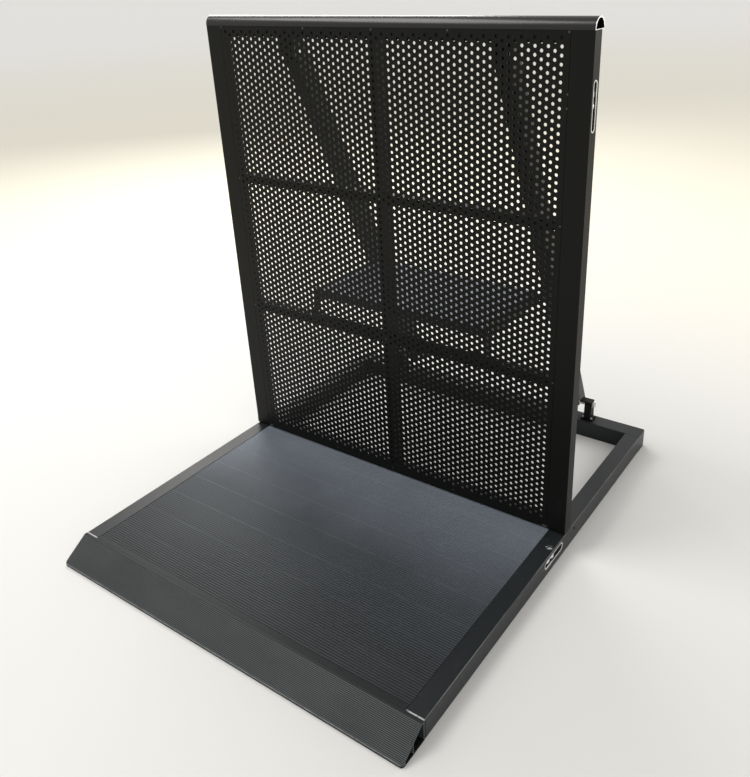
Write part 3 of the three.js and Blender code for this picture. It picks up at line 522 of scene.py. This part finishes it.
def build_perforated_sheet():
    """The sheet with its staggered round holes: each hole sits in a six-cornered cell of its own."""
    low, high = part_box("perforated_sheet")
    half_w, half_h = COLUMN_STEP / 2, ROW_STEP / 2
    field_top = TOP_ROW_Z + half_h
    field_bottom = TOP_ROW_Z - (ROWS - 1) * ROW_STEP - half_h
    bm = bmesh.new()
    known = {}

    def corner(x, z):
        key = (round(x / MM, 3), round(z / MM, 3))
        if key not in known:
            known[key] = bm.verts.new((x, low.y, z))
        return known[key]

    def face(*points):
        bm.faces.new([corner(x, z) for x, z in points])

    def cell(x, z):
        rim = [(x + HOLE_RADIUS * math.cos(a), z + HOLE_RADIUS * math.sin(a))
               for a in (2 * math.pi * k / HOLE_SIDES for k in range(HOLE_SIDES))]
        outer = [(x + half_w, z), (x + half_w, z + half_h), (x - half_w, z + half_h), (x - half_w, z),
                 (x - half_w, z - half_h), (x + half_w, z - half_h)]
        for k in range(6):
            face(outer[k], outer[(k + 1) % 6], rim[(2 * k + 2) % HOLE_SIDES], rim[2 * k + 1], rim[2 * k])

    for i in range(-SIDE_COLUMNS, SIDE_COLUMNS + 1):
        x = i * COLUMN_STEP
        left, right = x - half_w, x + half_w
        shifted = i % 2
        first = TOP_ROW_Z - (half_h if shifted else 0)
        for row in range(ROWS - (1 if shifted else 0)):
            cell(x, first - row * ROW_STEP)
        if shifted:
            for top in (field_top, field_bottom + half_h):
                face((left, top), (left, top - half_h), (right, top - half_h), (right, top))
        face((left, high.z), (left, field_top), (right, field_top), (right, high.z))

    edge = (SIDE_COLUMNS + 0.5) * COLUMN_STEP
    inner = edge - COLUMN_STEP
    notch_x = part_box("panel_shoe_right")[0].x - 1 * MM
    notch_z = min(v.co.z for v in NODES["perforated_sheet"].data.vertices if abs(v.co.x) > notch_x + MM)
    levels = [high.z] + [field_top - k * half_h for k in range(2 * ROWS + 1)] + [notch_z]
    for sign in (-1, 1):
        for upper, lower in zip(levels, levels[1:]):
            face((sign * edge, upper), (sign * edge, lower), (sign * high.x, lower), (sign * high.x, upper))
        face((sign * inner, field_bottom), (sign * inner, notch_z), (sign * notch_x, notch_z),
             (sign * edge, notch_z), (sign * edge, field_bottom))
        face((sign * inner, notch_z), (sign * inner, low.z), (sign * notch_x, low.z),
             (sign * notch_x, notch_z))
    for i in range(-SIDE_COLUMNS + 1, SIDE_COLUMNS):
        left, right = (i - 0.5) * COLUMN_STEP, (i + 0.5) * COLUMN_STEP
        face((left, field_bottom), (left, notch_z), (right, notch_z), (right, field_bottom))
        face((left, notch_z), (left, low.z), (right, low.z), (right, notch_z))

    made = bmesh.ops.extrude_face_region(bm, geom=bm.faces[:], use_keep_orig=True)
    moved = [v for v in made["geom"] if isinstance(v, bmesh.types.BMVert)]
    bmesh.ops.translate(bm, verts=moved, vec=(0, high.y - low.y, 0))
    bmesh.ops.recalc_face_normals(bm, faces=bm.faces)
    sheet = piece("sheet_with_holes", bm, "panel", "panel_paint", weighed=False)
    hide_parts("perforated_sheet")


# ---------------------------------------------------------------- fixings and welds
PANEL_RIVET_ROWS = (1174 * MM, 807 * MM, 449 * MM, 64.5 * MM)
PANEL_RIVET_COLUMNS = (-450 * MM, -190 * MM, 0, 190 * MM, 450 * MM)
SEAM_X = 452 * MM                             # the rivets that hold the sheet to the stile by the lock
SEAM_ROWS = (1064 * MM, 1038 * MM)
LOCK_RIVET_X = 470 * MM
LOCK_RIVETS_ALONG = (24.5 * MM, -43.5 * MM)   # from the middle of the lower lock
LATCH_RIVET = (472 * MM, FACE_Y + 202 * MM)
LOCK_PIVOT_INSET = 12 * MM
LUG_PLATE = 35 * MM
LUG_PLATE_THICK = 5 * MM
LUG_SCREW_INSET = 5.5 * MM


def build_panel_rivets():
    front = (0, -1, 0)
    bm = bmesh.new()
    for z in PANEL_RIVET_ROWS:
        for x in PANEL_RIVET_COLUMNS:
            over_shoe = z == PANEL_RIVET_ROWS[-1] and abs(x) == PANEL_RIVET_COLUMNS[-1]
            if not over_shoe:
                rivet(bm, (x, FACE_Y, z), front, 2.4 * MM)
    for z in SEAM_ROWS:
        rivet(bm, (SEAM_X, FACE_Y, z), front, 2.0 * MM)
    piece("panel_rivets", bm, "panel", "panel_paint", "rivet_paint")


def build_base_fixings():
    """The rivets and the key hole's ring on top of the right tube, and the lugs' screws."""
    upward = (0, 0, 1)
    lock_low, lock_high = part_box("lower_lock_housing")
    middle = (lock_low.y + lock_high.y) / 2
    bm = bmesh.new()
    for along in LOCK_RIVETS_ALONG:
        rivet(bm, (LOCK_RIVET_X, middle + along, DECK_TOP), upward, 3.0 * MM)
    rivet(bm, (*LATCH_RIVET, DECK_TOP), upward, 2.4 * MM)
    piece("tube_rivets", bm, "base", "frame_paint", "rivet_paint")

    bm = bmesh.new()
    collar = [(6.2 * MM, -2 * MM), (8.2 * MM, -2 * MM), (8.2 * MM, 0.25 * MM), (7.6 * MM, PROUD),
              (6.6 * MM, PROUD), (6.2 * MM, 0.25 * MM)]
    lathe_ring(bm, collar, (HALF - LOCK_PIVOT_INSET, middle, DECK_TOP), 28)
    piece("key_hole_ring", bm, "base", "lock_chrome", "ring_chrome")

    bm = bmesh.new()
    low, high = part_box("strut_lug_right")
    for sign in (-1, 1):
        for x in (high.x - LUG_PLATE + LUG_SCREW_INSET, high.x - LUG_SCREW_INSET):
            hex_head(bm, (sign * x, low.y + 7 * MM, low.z + LUG_PLATE_THICK), upward, 3.2 * MM, 3.4 * MM)
    piece("lug_screws", bm, "base", "zinc_steel")


def build_base_welds():
    """Beads where the side tubes meet the rear bar, and along the lugs' uprights."""
    inner_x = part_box("side_tube_right")[0].x - 0.1 * MM
    outer_x = HALF - 1.3 * MM
    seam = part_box("rear_bar")[0].y - 0.15 * MM
    top = DECK_TOP - 1.1 * MM
    lug_low, lug_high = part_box("strut_lug_right")
    plate = lug_low.z + LUG_PLATE_THICK + 0.5 * MM
    bm = bmesh.new()
    for sign in (-1, 1):
        bead(bm, (sign * inner_x, seam, 4 * MM), (sign * inner_x, seam, 46 * MM), 1.3 * MM, (-sign, -1, 0))
        bead(bm, (sign * (inner_x + 1.1 * MM), seam, top), (sign * (HALF - 2 * MM), seam, top), 1.3 * MM,
             (0, 0, 1))
        bead(bm, (sign * outer_x, seam, 3 * MM), (sign * outer_x, seam, DECK_TOP - 2 * MM), 1.25 * MM,
             (sign, 0, 0))
        for x, out in ((lug_high.x - LUG_PLATE + 6.4 * MM, -1), (lug_high.x - 6.4 * MM, 1)):
            bead(bm, (sign * x, lug_low.y + 5 * MM, plate), (sign * x, lug_high.y - 2 * MM, plate), 1.5 * MM,
                 (sign * out, 0, 1))
    piece("base_welds", bm, "base", "frame_paint")


def build_panel_welds():
    """Beads round the half rails' ends, and down both sides of the brackets on the panel's back."""
    bm = bmesh.new()
    stile_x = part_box("panel_stile_right")[0].x
    post_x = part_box("centre_post")[1].x
    flush = BACK_Y - 0.7 * MM
    for name in ("upper_rail_right", "lower_rail_right", "upper_rail_left", "lower_rail_left"):
        low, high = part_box(name)
        sign = 1 if low.x > 0 else -1
        for x, inward in ((stile_x, -sign), (post_x, sign)):
            bead(bm, (sign * x, flush, low.z + 1 * MM), (sign * x, flush, high.z - 1 * MM), 1.5 * MM,
                 (0, 1, 0))
            corner_x = sign * x + inward * 0.6 * MM
            for z, up in ((low.z - 0.3 * MM, -1), (high.z + 0.3 * MM, 1)):
                bead(bm, (corner_x, FACE_Y + 4 * MM, z), (corner_x, BACK_Y - 2 * MM, z), 1.6 * MM,
                     (inward, 0, up))
    strut_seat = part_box("top_bar")[0].z + 1 * MM
    step_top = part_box("lower_rail_right")[1].z
    for stem in ("strut_top_bracket", "step_bracket"):
        for side in ("right", "left"):
            low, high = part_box(f"{stem}_{side}")
            bottom, top = (strut_seat, high.z) if stem == "strut_top_bracket" else (low.z, step_top)
            for x, out in ((low.x + 0.5 * MM, -1), (high.x - 0.5 * MM, 1)):
                bead(bm, (x, BACK_Y + 0.4 * MM, bottom + 2 * MM), (x, BACK_Y + 0.4 * MM, top - 2 * MM),
                     1.5 * MM, (out, 1, 0))
    piece("panel_welds", bm, "panel", "panel_paint")


# ---------------------------------------------------------------- pieces carried over from the frame
SOFTENING = {
    "tread_plank": (0.12 * MM, 1),
    "step_board": (0.2 * MM, 1),
    "nose_ramp": (0.12 * MM, 1),
    "side_tube": (0.35 * MM, 2),
    "rear_bar": (0.35 * MM, 2),
    "panel_stile": (0.35 * MM, 2),
    "top_rail": (0.3 * MM, 2),
}
SOFTENING_ELSEWHERE = (0.45 * MM, 2)
SPECIAL_FINISH = {
    "nose_ramp": "nose_metal",
    "top_rail": "rail_paint",
    "upper_lock_cam": "cam_steel",
    "lower_lock_cam": "cam_steel",
}


def build_refined_nodes():
    """Every CAD node but the sheet, with its edges softened."""
    for name in sorted(NODES):
        if name == "perforated_sheet":
            continue
        stem = next((key for key in SOFTENING if name.startswith(key)), None)
        width, segments = SOFTENING.get(stem, SOFTENING_ELSEWHERE)
        refine(name, width, segments, SPECIAL_FINISH.get(name))


# ---------------------------------------------------------------- stage
CAMERA_AT = (1.0863, -1.3981, 1.3057)
YAW, PITCH_DOWN, ROLL = -0.6259, -0.4413, -0.0432
LENS = 37.163
SHIFT = (-0.0307, -0.0648)


def build_camera():
    """The camera, placed by its turns about the vertical, across and along its view."""
    forward = Vector((math.sin(YAW) * math.cos(PITCH_DOWN), math.cos(YAW) * math.cos(PITCH_DOWN),
                      math.sin(PITCH_DOWN)))
    level = Vector((math.cos(YAW), -math.sin(YAW), 0))
    up = level.cross(forward)
    right = level * math.cos(ROLL) + up * math.sin(ROLL)
    true_up = up * math.cos(ROLL) - level * math.sin(ROLL)
    data = bpy.data.cameras.new("camera")
    data.lens = LENS
    data.sensor_width = 36
    data.shift_x, data.shift_y = SHIFT
    data.clip_end = 50
    camera = bpy.data.objects.new("camera", data)
    bpy.context.scene.collection.objects.link(camera)
    turn = Matrix((right, true_up, -forward)).transposed().to_4x4()
    camera.matrix_world = Matrix.Translation(CAMERA_AT) @ turn
    bpy.context.scene.camera = camera


def area_light(name, at, target, size, power, colour):
    """A soft rectangular light aimed at target."""
    data = bpy.data.lights.new(name, "AREA")
    data.shape = "RECTANGLE"
    data.size, data.size_y = size
    data.energy = power
    data.color = colour
    light = bpy.data.objects.new(name, data)
    bpy.context.scene.collection.objects.link(light)
    light.location = at
    light.rotation_euler = (Vector(target) - Vector(at)).to_track_quat("-Z", "Y").to_euler()


FLOOR_HALF = 120
SOFT_WHITE = (1.0, 0.98, 0.95)


def build_stage():
    """A plain pale floor under an even sky, with three soft lights."""
    mesh = bpy.data.meshes.new("floor")
    bm = bmesh.new()
    bmesh.ops.create_grid(bm, x_segments=1, y_segments=1, size=FLOOR_HALF)
    bm.to_mesh(mesh)
    bm.free()
    floor = bpy.data.objects.new("floor", mesh)
    bpy.context.scene.collection.objects.link(floor)
    mesh.materials.append(floor_material())
    bpy.context.scene.view_settings.view_transform = "Standard"
    world = bpy.data.worlds.new("studio")
    bpy.context.scene.world = world
    world.use_nodes = True
    background = world.node_tree.nodes["Background"]
    background.inputs["Color"].default_value = (1.0, 0.985, 0.95, 1)
    background.inputs["Strength"].default_value = 0.78
    area_light("key", (-1.4, -0.9, 3.2), (0, -0.2, 0.3), (2.0, 1.4), 50, SOFT_WHITE)
    area_light("back", (-3.0, 2.8, 2.9), (0, 0, 0.7), (2.8, 1.2), 95, SOFT_WHITE)
    area_light("side", (2.3, 3.4, 1.7), (0.5, 0, 0.8), (1.4, 1.6), 22, (1.0, 0.93, 0.82))


build_camera()
build_stage()
build_perforated_sheet()
build_refined_nodes()
build_panel_rivets()
build_base_fixings()
build_base_welds()
build_panel_welds()
